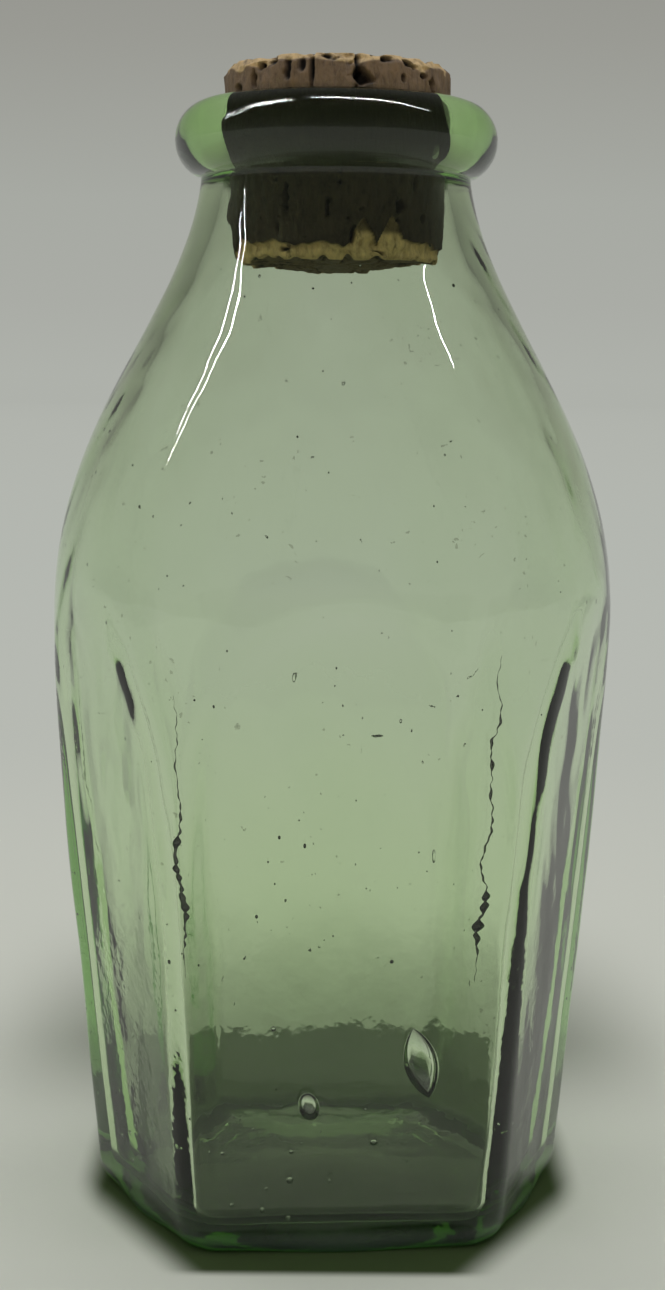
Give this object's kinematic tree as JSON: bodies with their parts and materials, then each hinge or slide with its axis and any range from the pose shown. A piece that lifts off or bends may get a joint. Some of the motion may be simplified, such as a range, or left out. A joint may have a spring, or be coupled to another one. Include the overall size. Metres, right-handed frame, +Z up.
{
  "type": "snuff bottle",
  "caption": "Small six-sided green glass bottle with tapered, arched panels, a round shoulder and a ring lip, closed by a tapered cork that pulls out.",
  "frame": {"origin": "centre of the bottle's footprint, on the surface that it stands on", "axes": "+Z up the bottle's axis to the cork, -Y out of the front panel, X out through the ribs at the sides"},
  "size_m": [0.0588, 0.0584, 0.1185],
  "materials": {
    "bottle_glass": "fire-polished, pale bottle green",
    "stopper_cork": "dry, pitted cork"
  },
  "bodies": {
    "bottle": {"glass_bottle": "bottle_glass"},
    "cork": {"cork_stopper": "stopper_cork"}
  },
  "joints": [
    {"name": "cork_pull", "type": "slide", "parent": "bottle", "child": "cork", "axis": [0, 0, 1], "range_m": [0, 0.022]}
  ]
}
